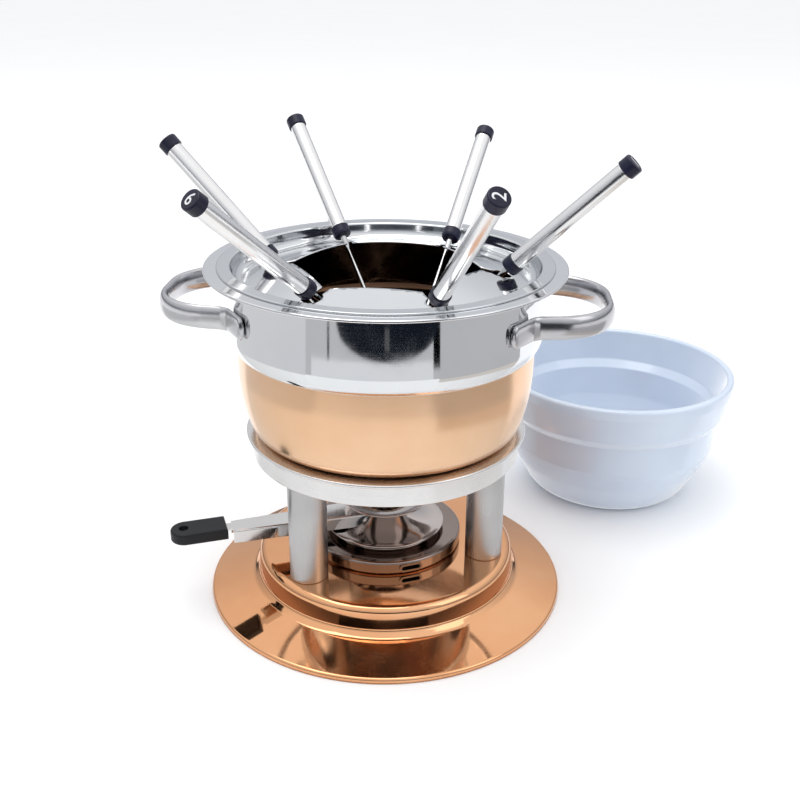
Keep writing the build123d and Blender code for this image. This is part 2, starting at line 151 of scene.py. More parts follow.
def sheet(line, thickness):
    """The closed section of a sheet whose outer face is line; an end off the axis is rounded."""
    other = beside(line, thickness)
    first_end = round_end(other[0], line[0], line[1] - line[0])
    if abs(line[-1].x) < 1e-6:
        return line + other[:0:-1] + first_end
    last_end = round_end(line[-1], other[-1], line[-2] - line[-1])
    return line[:-1] + last_end + other[-2:0:-1] + first_end


# ---------------------------------------------------------------- mesh helpers
def circle(radius, count):
    """Points spaced evenly round a circle about the origin."""
    return [
        (radius * cos(2 * pi * k / count), radius * sin(2 * pi * k / count)) for k in range(count)
    ]


def bridge(bm, a, b):
    """A band of quads between two closed rings with as many points."""
    count = len(a)
    for k in range(count):
        n = (k + 1) % count
        bm.faces.new((a[k], a[n], b[n], b[k]))


def closed_mesh(bm, name):
    """The mesh that bm holds; bm is freed."""
    mesh = bpy.data.meshes.new(name)
    bm.to_mesh(mesh)
    bm.free()
    return mesh


def finish_mesh(mesh, name, material, body, nodes, place=None, sharp=32.0):
    """Make the object: shading, place, material and body; the CAD nodes it stands for are hidden.
    """
    mesh.shade_smooth()
    mesh.set_sharp_from_angle(angle=radians(sharp))
    piece = bpy.data.objects.new(name, mesh)
    scene.collection.objects.link(piece)
    if place is not None:
        piece.matrix_world = place if isinstance(place, Matrix) else Matrix.Translation(place)
    for one in material if isinstance(material, (list, tuple)) else [material]:
        mesh.materials.append(one)
    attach(piece, body)
    if nodes:
        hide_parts(*nodes)
    return piece


def lathe_mesh(name, section, segments=SEGMENTS):
    """A closed section turned about local Z; section points are (radius, height) in mm."""
    bm = bmesh.new()
    rings = []
    for p in section:
        if abs(p[0]) < 1e-6:
            rings.append([bm.verts.new((0.0, 0.0, p[1] * MM))])
        else:
            rings.append([bm.verts.new((x, y, p[1] * MM)) for x, y in circle(p[0] * MM, segments)])
    for a, b in zip(rings, rings[1:] + rings[:1]):
        if len(a) > 1 and len(b) > 1:
            bridge(bm, a, b)
        elif len(b) > 1:
            for k in range(segments):
                bm.faces.new((a[0], b[(k + 1) % segments], b[k]))
        elif len(a) > 1:
            for k in range(segments):
                bm.faces.new((a[k], a[(k + 1) % segments], b[0]))
    bmesh.ops.remove_doubles(bm, verts=bm.verts, dist=1e-8)
    bmesh.ops.recalc_face_normals(bm, faces=bm.faces)
    return closed_mesh(bm, name)


def lathe(name, section, material, body, nodes, place=None, segments=SEGMENTS, sharp=32.0):
    """A turned piece: its section in mm, then what finish_mesh needs."""
    mesh = lathe_mesh(name, section, segments)
    return finish_mesh(mesh, name, material, body, nodes, place, sharp)


# ---------------------------------------------------------------- materials
def colour(hexa):
    """A linear colour with alpha from an sRGB hex string."""
    values = [int(hexa[i : i + 2], 16) / 255 for i in (0, 2, 4)]
    linear = [v / 12.92 if v <= 0.04045 else ((v + 0.055) / 1.055) ** 2.4 for v in values]
    return (*linear, 1.0)


def fill_ramp(node, stops):
    """Set a colour ramp node's stops: pairs of a position and a linear colour with alpha."""
    elements = node.color_ramp.elements
    while len(elements) < len(stops):
        elements.new(0.5)
    for element, (at, tint) in zip(elements, stops):
        element.position = at
        element.color = tint


class Finish:
    """A procedural material being put together."""

    def __init__(self, name, metallic=0.0, coat=0.0, coat_roughness=0.05, ior=1.5):
        self.material = bpy.data.materials.new(name)
        self.material.use_nodes = True
        self.tree = self.material.node_tree
        self.shader = self.tree.nodes["Principled BSDF"]
        self.shader.inputs["Metallic"].default_value = metallic
        self.shader.inputs["Coat Weight"].default_value = coat
        self.shader.inputs["Coat Roughness"].default_value = coat_roughness
        self.shader.inputs["IOR"].default_value = ior
        self.bumped = None

    def node(self, kind, **values):
        made = self.tree.nodes.new(kind)
        for key, value in values.items():
            setattr(made, key, value)
        return made

    def link(self, a, b):
        self.tree.links.new(a, b)

    def round_coordinates(self, around=1.0, radial=1.0, up=1.0):
        """Object coordinates about local Z, as a vector for noise that runs round a turned part.

        X and Y are the direction from the axis times around; Z is radius times radial plus height
        times up.
        """
        where = self.node("ShaderNodeTexCoord").outputs["Object"]
        split = self.node("ShaderNodeSeparateXYZ")
        self.link(where, split.inputs[0])
        flat = self.node("ShaderNodeCombineXYZ")
        self.link(split.outputs["X"], flat.inputs["X"])
        self.link(split.outputs["Y"], flat.inputs["Y"])
        length = self.node("ShaderNodeVectorMath", operation="LENGTH")
        self.link(flat.outputs[0], length.inputs[0])
        unit = self.node("ShaderNodeVectorMath", operation="NORMALIZE")
        self.link(flat.outputs[0], unit.inputs[0])
        swing = self.node("ShaderNodeVectorMath", operation="SCALE")
        self.link(unit.outputs[0], swing.inputs[0])
        swing.inputs["Scale"].default_value = around
        both = self.node("ShaderNodeMath", operation="MULTIPLY")
        self.link(length.outputs["Value"], both.inputs[0])
        both.inputs[1].default_value = radial
        high = self.node("ShaderNodeMath", operation="MULTIPLY")
        self.link(split.outputs["Z"], high.inputs[0])
        high.inputs[1].default_value = up
        total = self.node("ShaderNodeMath", operation="ADD")
        self.link(both.outputs[0], total.inputs[0])
        self.link(high.outputs[0], total.inputs[1])
        lift = self.node("ShaderNodeCombineXYZ")
        self.link(total.outputs[0], lift.inputs["Z"])
        joined = self.node("ShaderNodeVectorMath", operation="ADD")
        self.link(swing.outputs[0], joined.inputs[0])
        self.link(lift.outputs[0], joined.inputs[1])
        return joined.outputs[0]

    def plain_coordinates(self, scale=(1.0, 1.0, 1.0)):
        """Object coordinates stretched by a factor on each axis."""
        where = self.node("ShaderNodeTexCoord").outputs["Object"]
        mapped = self.node("ShaderNodeMapping")
        mapped.inputs["Scale"].default_value = scale
        self.link(where, mapped.inputs["Vector"])
        return mapped.outputs[0]

    def noise(self, where, scale, detail=3.0, roughness=0.55, distortion=0.0):
        made = self.node("ShaderNodeTexNoise")
        made.inputs["Scale"].default_value = scale
        made.inputs["Detail"].default_value = detail
        made.inputs["Roughness"].default_value = roughness
        made.inputs["Distortion"].default_value = distortion
        self.link(where, made.inputs["Vector"])
        return made.outputs["Fac"]

    def ramp(self, value, stops):
        """A colour from a value; stops are pairs of a position and an sRGB hex string."""
        made = self.node("ShaderNodeValToRGB")
        fill_ramp(made, [(at, colour(tint)) for at, tint in stops])
        self.link(value, made.inputs["Fac"])
        return made.outputs["Color"]

    def spread(self, value, low, high, start=0.3, end=0.7):
        """The value's range from start to end stretched over low to high."""
        made = self.node("ShaderNodeMapRange")
        made.inputs["From Min"].default_value = start
        made.inputs["From Max"].default_value = end
        made.inputs["To Min"].default_value = low
        made.inputs["To Max"].default_value = high
        self.link(value, made.inputs["Value"])
        return made.outputs["Result"]

    def paint(self, value):
        self.link(value, self.shader.inputs["Base Color"])

    def gloss(self, value):
        self.link(value, self.shader.inputs["Roughness"])

    def bump(self, height, strength, distance):
        """A bump on top of the ones before it."""
        made = self.node("ShaderNodeBump")
        made.inputs["Strength"].default_value = strength
        made.inputs["Distance"].default_value = distance
        self.link(height, made.inputs["Height"])
        if self.bumped is not None:
            self.link(self.bumped, made.inputs["Normal"])
        self.bumped = made.outputs["Normal"]
        self.link(self.bumped, self.shader.inputs["Normal"])


def metal(
    name, tints, low, high, lines, line_depth=0.00001, wobble=0.0, smudge=9.0, contrast=0.25
):
    """Polished or brushed metal: slight colour drift, smudged gloss, turning or drawing lines.

    low and high are the roughness of the smudges; contrast is how much the lines change it.
    lines: "round" for turned parts, "along" for drawn tubes and strips, None for a plain polish.
    line_depth and wobble are the depths, in metres, of the lines and of the slow waves.
    """
    made = Finish(name, metallic=1.0)
    where = made.plain_coordinates()
    drift = made.noise(where, smudge, 4.0, 0.6)
    made.paint(made.ramp(drift, tuple(zip((0.3, 0.5, 0.7), tints))))
    if lines == "round":
        fine = made.noise(made.round_coordinates(0.35, 1400.0, 1400.0), 1.0, 4.0, 0.7)
    elif lines == "along":
        fine = made.noise(made.plain_coordinates((1500.0, 1500.0, 12.0)), 1.0, 3.0, 0.7)
    else:
        fine = made.noise(where, 900.0, 2.0)
    spots = made.noise(where, smudge * 5.0, 5.0, 0.65, 0.4)
    gloss = made.node("ShaderNodeMath", operation="MULTIPLY_ADD")
    made.link(made.spread(spots, low, high), gloss.inputs[0])
    made.link(made.spread(fine, 1.0 - contrast, 1.0 + contrast, 0.25, 0.75), gloss.inputs[1])
    gloss.inputs[2].default_value = 0.0
    made.gloss(gloss.outputs[0])
    made.bump(fine, 0.25, line_depth)
    if wobble:
        made.bump(made.noise(where, 16.0, 1.0, 0.4), 0.5, wobble)
    return made.material


def moulded(name, dark, light, low, high, grain=2600.0, depth=0.00003):
    """Moulded plastic: fine grain, faint flow marks and rubbed patches."""
    made = Finish(name, coat_roughness=0.2, ior=1.38)
    where = made.plain_coordinates()
    flow = made.noise(where, 60.0, 4.0, 0.6, 0.5)
    made.paint(made.ramp(flow, ((0.3, dark), (0.72, light))))
    fine = made.noise(where, grain, 3.0, 0.7)
    made.gloss(made.spread(flow, low, high))
    made.bump(fine, 0.35, depth)
    return made.material


polished_copper = metal(
    "polished_copper", ("dc9f72", "e4a97c", "eab388"), 0.035, 0.09, "round", 0.000004, 0.00003
)
satin_copper = metal(
    "satin_copper",
    ("e2b893", "e8c19f", "edcaab"),
    0.16,
    0.22,
    "round",
    0.0000012,
    0.00003,
    contrast=0.08,
)
polished_steel = metal(
    "polished_steel", ("dcdee1", "e2e3e5", "e6e6e6"), 0.03, 0.08, "round", 0.000003, 0.00002
)
cone_steel = metal(
    "cone_steel", ("d0d3d6", "d7d9db", "dcddde"), 0.05, 0.1, "round", 0.000004, 0.00002
)
# The pot's inside: this dark brown colour is painted shade on the steel, not the steel's own
# colour.
shaded_inner_steel = metal(
    "shaded_inner_steel", ("4a3528", "5a4334", "6b5240"), 0.08, 0.18, "round", 0.000005, 0.00003
)
brushed_steel = metal("brushed_steel", ("d8d6d6", "dfdddd", "e4e3e2"), 0.2, 0.3, "round", 0.000006)
drawn_steel = metal("drawn_steel", ("b0afb0", "bab9b9", "c3c2c2"), 0.26, 0.38, "along")
# The burner pan's dark warm grey is painted shade with a painted copper reflection, not the
# steel's own colour.
pan_shade_steel = metal(
    "pan_shade_steel", ("887a74", "92847d", "9b8e87"), 0.06, 0.14, "round", 0.000005, 0.00002
)
strap_steel = metal(
    "strap_steel", ("cfcdcc", "d6d4d3", "dbdad9"), 0.06, 0.14, "along", 0.000005, 0.00002
)
burner_steel = metal(
    "burner_steel", ("bab1ac", "c4bbb7", "ccc4c1"), 0.06, 0.14, "round", 0.000005, 0.00002
)
fork_steel = metal("fork_steel", ("e3e2e2", "eae9e9", "f0efef"), 0.14, 0.24, "along")
rod_steel = metal("rod_steel", ("b4b4b6", "bebebf", "c6c6c7"), 0.1, 0.2, "along")
loop_steel = metal(
    "loop_steel", ("b9b8bb", "c3c2c5", "cccccd"), 0.17, 0.24, None, 0.0000012, contrast=0.08
)
zinc_steel = metal("zinc_steel", ("a9adb0", "b4b7b9", "bcbfc1"), 0.3, 0.5, None, smudge=60.0)
gauze_wire = metal("gauze_wire", ("9c9690", "aaa49d", "b5b0a9"), 0.3, 0.45, "round")
black_plastic = moulded("black_plastic", "0e0f22", "1a1b38", 0.26, 0.4)
grip_plastic = moulded("grip_plastic", "0b0c10", "15171d", 0.4, 0.55, 1800.0, 0.00005)
digit_paint = moulded("digit_paint", "d8d8da", "ececee", 0.35, 0.5)


def ceramic_material():
    made = Finish("white_ceramic", coat=0.6, coat_roughness=0.06, ior=1.52)
    where = made.plain_coordinates()
    pool = made.noise(where, 14.0, 3.0, 0.5)
    made.paint(made.ramp(pool, ((0.3, "c8d4e6"), (0.7, "d2deed"))))
    made.gloss(made.spread(made.noise(where, 40.0, 4.0), 0.16, 0.26))
    made.bump(made.noise(where, 55.0, 2.0, 0.5), 0.3, 0.00012)
    made.bump(made.noise(made.round_coordinates(0.3, 260.0, 260.0), 1.0, 2.0), 0.2, 0.00006)
    return made.material


def wadding_material():
    made = Finish("wadding")
    where = made.plain_coordinates((1.0, 1.0, 3.0))
    tuft = made.noise(where, 420.0, 6.0, 0.7, 1.2)
    made.paint(made.ramp(tuft, ((0.3, "b9b2a4"), (0.7, "e6e1d6"))))
    made.gloss(made.spread(tuft, 0.85, 1.0))
    made.bump(tuft, 0.9, 0.0006)
    return made.material


def floor_material():
    made = Finish("studio_floor")
    where = made.plain_coordinates()
    made.paint(made.ramp(made.noise(where, 3.0, 2.0), ((0.2, "fbfbfc"), (0.8, "fdfdfd"))))
    made.shader.inputs["Roughness"].default_value = 0.9
    made.shader.inputs["Specular IOR Level"].default_value = 0.0
    return made.material


white_ceramic = ceramic_material()
wadding = wadding_material()

# ---------------------------------------------------------------- stand
copper_line = rounded(
    ((107.0, 0.0), (107.0, 2.8), (81.0, 9.6), (77.6, 12.5), (77.0, base_top), (0.0, base_top)),
    (1.9, 5.0, 3.0, 4.5),
)
lathe(
    "copper_base",
    sheet(copper_line, 1.5),
    polished_copper,
    "stand",
    ["base_skin"],
    segments=FINE_SEGMENTS,
)

ring_line = rounded(
    (
        (47.5, 103.5),
        (47.5, 105.5),
        (81.2, 105.5),
        (81.2, 103.5),
        (77.8, 103.2),
        (77.8, 91.0),
        (76.3, 91.0),
        (76.3, 103.5),
        (47.5, 103.5),
    ),
    (0.5, 0.9, 0.7, 0.8, 0.6, 0.6, 0.4),
    15.0,
)
lathe(
    "pot_ring",
    ring_line[:-1],
    brushed_steel,
    "stand",
    ["stand_ring"],
    segments=FINE_SEGMENTS,
)

for post in ("post_front_left", "post_front_right", "post_back"):
    middle = centre_of(post)
    low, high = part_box(post)
    radius = (high.x - low.x) / 2 / MM
    foot, head = low.z / MM, high.z / MM
    tube = rounded(((0.0, foot), (radius, foot), (radius, head), (0.0, head)), (0.5, 0.5), 15.0)
    place = Vector((middle.x, middle.y, 0.0))
    lathe(post + "_tube", tube, drawn_steel, "stand", [post], place, 96)

# ---------------------------------------------------------------- pot
# The pot's belly is an arc that starts at its waist; a smaller arc turns it into the floor.
WAIST = 83.9
BELLY_RADIUS = 110.0
BELLY_X, BELLY_Z = WAIST - BELLY_RADIUS, 146.0
POT_FLOOR = 105.5
CORNER_RADIUS = 9.0
SHELL_TOP = 157.0
WALL_STEPS, CORNER_STEPS = 24, 12
corner_z = POT_FLOOR + CORNER_RADIUS
corner_x = BELLY_X + ((BELLY_RADIUS - CORNER_RADIUS) ** 2 - (BELLY_Z - corner_z) ** 2) ** 0.5
corner_turn = atan2(BELLY_Z - corner_z, corner_x - BELLY_X)


def belly(inset, top=SHELL_TOP):
    """The belly's section from its upper edge to the axis, inset from the copper's outer face."""
    line = [Vector((WAIST - inset, top)), Vector((WAIST - inset, BELLY_Z + 2.0))]
    wall, corner = BELLY_RADIUS - inset, CORNER_RADIUS - inset
    for k in range(WALL_STEPS + 1):
        angle = -corner_turn * k / WALL_STEPS
        line.append(Vector((BELLY_X + wall * cos(angle), BELLY_Z + wall * sin(angle))))
    for k in range(1, CORNER_STEPS + 1):
        angle = -corner_turn - (pi / 2 - corner_turn) * k / CORNER_STEPS
        line.append(Vector((corner_x + corner * cos(angle), corner_z + corner * sin(angle))))
    floor_z = corner_z - CORNER_RADIUS + inset
    return line + [Vector((x, floor_z)) for x in (corner_x - 1.0, 30.0, 0.0)]


SHELL_THICKNESS = 1.0
shell_outer, shell_inner = belly(0.0), belly(SHELL_THICKNESS)
edge_in, edge_down = Vector((-SUPPORT_RUN, 0.0)), Vector((0.0, -SUPPORT_RUN))
lathe(
    "copper_belly",
    [shell_inner[0], shell_outer[0] + edge_in, shell_outer[0] + edge_down]
    + shell_outer[1:]
    + shell_inner[:0:-1],
    satin_copper,
    "pot",
    ["pot_copper_shell"],
    segments=FINE_SEGMENTS,
)

BAND_RADIUS, BAND_INSIDE, BAND_START = 88.3, 86.7, 168.0
FLANGE_RADIUS, FLANGE_BOTTOM, FLANGE_TOP = 100.0, 200.4, 202.0
flange = (
    (99.0, FLANGE_BOTTOM),
    (FLANGE_RADIUS, FLANGE_BOTTOM),
    (FLANGE_RADIUS, FLANGE_TOP),
    (98.5, FLANGE_TOP),
)
band_outside = (
    (BAND_RADIUS, BAND_START),
    (BAND_RADIUS, FLANGE_BOTTOM),
    (FLANGE_RADIUS, FLANGE_BOTTOM),
)
band_inside = ((98.0, FLANGE_TOP), (BAND_INSIDE, FLANGE_TOP), (BAND_INSIDE, BAND_START))
vessel_outer = (
    [Vector((83.5, 156.99)), Vector((84.45, 157.0)), Vector((84.7, 157.25))]
    + arc_through((84.7, 157.25), (87.1, 161.4), band_outside[0], 12)[1:]
    + rounded(band_outside, 2.0)[1:-1]
    + rounded(flange, 0.7, 15.0)
    + rounded(band_inside, 1.6)
    + arc_through(band_inside[-1], (85.3, 161.4), (81.3, 157.0), 12)[1:]
)
liner, liner_back = belly(2.6), belly(1.05, SHELL_TOP - 0.01)
vessel_section = vessel_outer + liner[1:] + liner_back[::-1]
vessel_mesh = lathe_mesh("steel_vessel", vessel_section, FINE_SEGMENTS)
finish_mesh(
    vessel_mesh,
    "steel_vessel",
    [polished_steel, shaded_inner_steel],
    "pot",
    ["pot_vessel"],
)
# Faces inside the pot below this height get the dark inner material: painted shade on the steel.
SHADED_RADIUS, SHADED_TOP = 87.4, 190.0
for face in vessel_mesh.polygons:
    middle = face.center / MM
    inside = hypot(middle.x, middle.y) < SHADED_RADIUS and middle.z < SHADED_TOP
    outward = face.normal.x * middle.x + face.normal.y * middle.y
    face.material_index = 1 if inside and (outward < 0 or face.normal.z > 0.5) else 0

# A loop's tab lies on the pot's band; the shares are of the strip's full size, from its end on.
LOOP_HEIGHT = 180.0
LOOP_HALF_WIDTH = 6.5
LOOP_CORNER = Vector((124.0, 36.5))
TAB_RADIUS, TAB_ANGLE = BAND_RADIUS + 1.65, radians(34.0)
TAB_HALF_LENGTH, TAB_HALF_THICKNESS = 9.0, 1.8
TAB_STEPS = (0.02, 0.5, 1.2, 2.2)
TAB_WIDTHS = (0.68, 0.80, 0.92, 1.0)
TAB_THICKNESSES = (0.82, 0.97, 1.0, 1.0)
BEND_EXTRA = 1.1
BEND_START, BEND_RUN = 14, 10.0
LOOP_POINTS = 28


def mirrored(line):
    """The line backwards, on the other side of the X axis."""
    return [Vector((p.x, -p.y)) for p in reversed(line)]


def signed_power(value, power):
    return abs(value) ** power * (1 if value >= 0 else -1)


def loop_handle(name, node, turn):
    """A side loop: a strip bent round, its ends flattened on the pot's wall with clipped corners.

    Away from its end tabs the strip is thicker, towards the inside of the bend.
    """
    tab = Vector((TAB_RADIUS * cos(TAB_ANGLE), TAB_RADIUS * sin(TAB_ANGLE)))
    along = Vector((TAB_HALF_LENGTH * sin(TAB_ANGLE), -TAB_HALF_LENGTH * cos(TAB_ANGLE)))
    half_loop = [tab - along, tab + along * 1.25, LOOP_CORNER]
    path = rounded(half_loop + mirrored(half_loop), (7.0, 33.0, 33.0, 7.0), 4.0)
    start = (path[1] - path[0]).normalized()
    tab_end = [path[0] + start * step for step in TAB_STEPS]
    path = tab_end + path[1:-1] + mirrored(tab_end)
    last = len(path) - 1
    bm = bmesh.new()
    rings = []
    for i, p in enumerate(path):
        ahead = (path[min(last, i + 1)] - path[max(0, i - 1)]).normalized()
        side = Vector((-ahead.y, ahead.x))
        edge = min(i, last - i)
        half_width, thickness = LOOP_HALF_WIDTH, 1.0
        if edge < len(TAB_WIDTHS):
            half_width, thickness = LOOP_HALF_WIDTH * TAB_WIDTHS[edge], TAB_THICKNESSES[edge]
        bend_share = min(1.0, max(0.0, (edge - BEND_START) / BEND_RUN))
        half_thickness = (TAB_HALF_THICKNESS + BEND_EXTRA * bend_share) * thickness
        ring = []
        for k in range(LOOP_POINTS):
            angle = 2 * pi * k / LOOP_POINTS
            x = half_thickness * signed_power(cos(angle), 0.95)
            z = half_width * signed_power(sin(angle), 0.85 + 0.15 * bend_share)
            q = p + side * (x - BEND_EXTRA * bend_share)
            ring.append(bm.verts.new((q.x * MM, q.y * MM, (LOOP_HEIGHT + z) * MM)))
        rings.append(ring)
    for a, b in zip(rings, rings[1:]):
        bridge(bm, a, b)
    bm.faces.new(rings[0])
    bm.faces.new(rings[-1])
    bmesh.ops.recalc_face_normals(bm, faces=bm.faces)
    mesh = closed_mesh(bm, name)
    mesh.transform(Matrix.Rotation(radians(turn), 4, "Z"))
    finish_mesh(mesh, name, loop_steel, "pot", [node], sharp=40.0)


loop_handle("side_loop_right", "pot_handle_right", -5.0)
loop_handle("side_loop_left", "pot_handle_left", 175.0)

# ---------------------------------------------------------------- fork guard
GUARD_TURN = 113.6
SIDES = 6
SIDE_TURN, HALF_TURN = radians(60.0), radians(30.0)
APOTHEM = 46.5
OPENING_HEIGHT = 201.2
SLOPE = tan(radians(12.5))
NOTCH_AT, NOTCH_RADIUS, NOTCH_NECK = 63.5, 5.6, 2.7
NOTCH_STEPS, NECK_STEPS, SIDE_STEPS = 36, 4, 24
CONE_EDGE, CONE_FOOT = 74.0, 83.5
RIM_HEIGHT, RIM_RADIUS = 203.0, 92.8
GUARD_THICKNESS = 0.9
FILL_RINGS, FILL_POINTS = 14, 192
FILL_START, FILL_GAP, FILL_CLEARANCE = APOTHEM + 1.2, 1.95, 0.7


def turned(angle):
    return Matrix.Rotation(angle, 2)


def cone_height(radius):
    return OPENING_HEIGHT - (radius - APOTHEM) * SLOPE


def guard_outline():
    """The guard's opening: a hexagon whose corners run out into keyhole notches, in mm."""
    outline = []
    hole_side = (NOTCH_RADIUS**2 - NOTCH_NECK**2) ** 0.5
    reach = NOTCH_AT - hole_side
    start = atan2(NOTCH_NECK, -hole_side)
    neck_root = APOTHEM / cos(HALF_TURN) - NOTCH_NECK * tan(HALF_TURN)
    neck = [(reach - neck_root) * k / NECK_STEPS for k in range(NECK_STEPS + 1)]
    root_in, root_out = Vector((neck_root, -NOTCH_NECK)), Vector((neck_root, NOTCH_NECK))
    side = turned(SIDE_TURN) @ root_in - root_out
    for i in range(SIDES):
        local = [Vector((neck_root + run, -NOTCH_NECK)) for run in neck]
        for k in range(1, NOTCH_STEPS):
            angle = -start + 2 * start * k / NOTCH_STEPS
            x, y = NOTCH_AT + NOTCH_RADIUS * cos(angle), NOTCH_RADIUS * sin(angle)
            local.append(Vector((x, y)))
        local += [Vector((reach - run, NOTCH_NECK)) for run in neck]
        local += [root_out + side * (k / SIDE_STEPS) for k in range(1, SIDE_STEPS)]
        turn = turned(radians(GUARD_TURN + 60.0 * i))
        outline += [turn @ p for p in local]
    return outline


def open_here(p):
    """Whether a point lies in the guard's opening or a notch."""
    inside_sides = 0
    for i in range(SIDES):
        q = turned(-radians(GUARD_TURN + 60.0 * i)) @ p
        in_hole = hypot(q.x - NOTCH_AT, q.y) < NOTCH_RADIUS - 1e-4
        in_neck = 0.0 < q.x < NOTCH_AT and abs(q.y) < NOTCH_NECK - 1e-4
        if in_hole or in_neck:
            return True
        if (turned(-HALF_TURN) @ q).x < APOTHEM + 1e-4:
            inside_sides += 1
    return inside_sides == SIDES


def fill_points(outline):
    """Points on the cone between the opening and the cone's edge, for even triangles."""
    points = []
    for ring in range(FILL_RINGS):
        radius = FILL_START + ring * FILL_GAP
        for k in range(FILL_POINTS):
            angle = 2 * pi * (k + 0.5 * (ring % 2)) / FILL_POINTS
            p = Vector((radius * cos(angle), radius * sin(angle)))
            near = min((p - q).length for q in outline)
            if near > FILL_CLEARANCE and not open_here(p):
                points.append(p)
    return points


def guard_piece():
    """The guard: a triangulated cone with its notched opening, then a turned trough and rim."""
    outline = guard_outline()
    inner = len(outline)
    edge = [Vector(p) for p in circle(CONE_EDGE, SEGMENTS)]
    edges = [(i, (i + 1) % inner) for i in range(inner)]
    edges += [(inner + i, inner + (i + 1) % SEGMENTS) for i in range(SEGMENTS)]
    points = outline + edge + fill_points(outline)
    verts, _, faces, _, _, _ = delaunay_2d_cdt(points, edges, [], 0, 1e-6)
    bm = bmesh.new()
    made = [bm.verts.new((v.x * MM, v.y * MM, cone_height(v.length) * MM)) for v in verts]
    for face in faces:
        middle = sum((verts[i] for i in face), Vector((0.0, 0.0))) / len(face)
        if middle.length < CONE_EDGE and not open_here(middle):
            bm.faces.new([made[i] for i in face])
    for v in [v for v in bm.verts if not v.link_faces]:
        bm.verts.remove(v)
    trough = rounded(
        (
            (CONE_EDGE, cone_height(CONE_EDGE)),
            (CONE_FOOT, cone_height(CONE_FOOT)),
            (85.1, RIM_HEIGHT),
            (RIM_RADIUS, RIM_HEIGHT),
            (RIM_RADIUS, 202.15),
        ),
        (5.0, 1.2, 0.5),
    )
    rings = [
        [bm.verts.new((x, y, p.y * MM)) for x, y in circle(p.x * MM, SEGMENTS)] for p in trough
    ]
    for a, b in zip(rings, rings[1:]):
        bridge(bm, a, b)
    bmesh.ops.remove_doubles(bm, verts=bm.verts, dist=2e-7)
    bmesh.ops.recalc_face_normals(bm, faces=bm.faces)
    top = max(bm.faces, key=lambda f: f.calc_center_median().z)
    if top.normal.z < 0:
        bmesh.ops.reverse_faces(bm, faces=bm.faces)
    mesh = closed_mesh(bm, "guard_sheet")
    piece = finish_mesh(mesh, "guard_sheet", cone_steel, "guard", ["fork_guard"])
    thicken = piece.modifiers.new("thickness", "SOLIDIFY")
    thicken.thickness = GUARD_THICKNESS * MM
    thicken.offset = -1.0
    thicken.use_even_offset = True


guard_piece()

# ---------------------------------------------------------------- forks
# Heights run along the fork from its guard, up the tube and down the rod.
TUBE_MIDDLE = 40.7
TUBE_START, TUBE_END = 3.1, 78.3
TUBE_RADIUS, BORE_RADIUS = 4.8, 4.2
CAP_RADIUS, CAP_START, CAP_TOP = 5.6, 78.4, 84.9
ROD_RADIUS, ROD_SHOULDER = 1.3, 1.9
HEAD_ROOT, HEAD_TIP = -98.0, -122.0
HEAD_HALF_WIDTH, HEAD_GAP = 3.2, 1.6
HEAD_THICKNESS = 1.6
DIGIT_TURN = {2: 161.0, 6: 70.0}
USUAL_DIGIT_TURN = 90.0
DIGIT_HEIGHT, DIGIT_DEPTH, DIGIT_SWELL = 9.4, 0.06, 0.05
DIGIT_AT = 84.92


def flat_head(bm):
    """The two-tined head in the plane of local X and Z, with rounded edges."""
    one_side = [
        (1.3, HEAD_ROOT + 2.0),
        (2.0, HEAD_ROOT - 2.0),
        (2.9, HEAD_ROOT - 3.9),
        (HEAD_HALF_WIDTH, HEAD_ROOT - 5.6),
        (HEAD_HALF_WIDTH, HEAD_TIP + 4.5),
        (HEAD_HALF_WIDTH - 0.5, HEAD_TIP),
        (HEAD_GAP - 0.7, HEAD_TIP + 5.0),
        (HEAD_GAP, HEAD_TIP + 5.8),
        (HEAD_GAP, HEAD_ROOT - 6.6),
        (1.1, HEAD_ROOT - 5.5),
    ]
    outline = one_side + [(0.0, HEAD_ROOT - 5.0)] + [(-x, z) for x, z in reversed(one_side)]
    verts = [bm.verts.new((x * MM, -HEAD_THICKNESS / 2 * MM, z * MM)) for x, z in outline]
    face = bm.faces.new(verts)
    out = bmesh.ops.extrude_face_region(bm, geom=[face])
    for v in [g for g in out["geom"] if isinstance(g, bmesh.types.BMVert)]:
        v.co.y += HEAD_THICKNESS * MM
    rims = [e for e in bm.edges if len({round(v.co.y, 6) for v in e.verts}) == 1]
    bmesh.ops.bevel(bm, geom=rims, offset=0.3 * MM, segments=2, affect="EDGES", profile=0.5)
    bmesh.ops.recalc_face_normals(bm, faces=bm.faces)


def fork_place(tag):
    """A fork's own frame: Z up along its rod, from the CAD handle's place and the joint's axis."""
    axis = Vector(joints[tag + "_pull"]["axis"]).normalized()
    seat = centre_of(tag + "_handle") - axis * (TUBE_MIDDLE * MM)
    across = Vector((axis.x, axis.y, 0.0)).normalized()
    across = (across - axis * across.dot(axis)).normalized()
    axes = Matrix((across, axis.cross(across), axis)).transposed().to_4x4()
    return Matrix.Translation(seat) @ axes


def fork_shaft(tag, place):
    """The turned rod and its head, in one mesh."""
    rod_line = (
        (0.0, HEAD_ROOT),
        (ROD_RADIUS, HEAD_ROOT),
        (ROD_RADIUS, -13.2),
        (ROD_SHOULDER, -TUBE_START),
        (0.0, -TUBE_START),
    )
    rod = lathe_mesh(tag + "_rod_turned", rounded(rod_line, (0.2, 4.0, 0.1), 15.0), 32)
    bm = bmesh.new()
    flat_head(bm)
    bm.from_mesh(rod)
    shaft = closed_mesh(bm, tag + "_shaft")
    finish_mesh(shaft, tag + "_shaft", rod_steel, tag, [tag + "_rod"], place, 40.0)


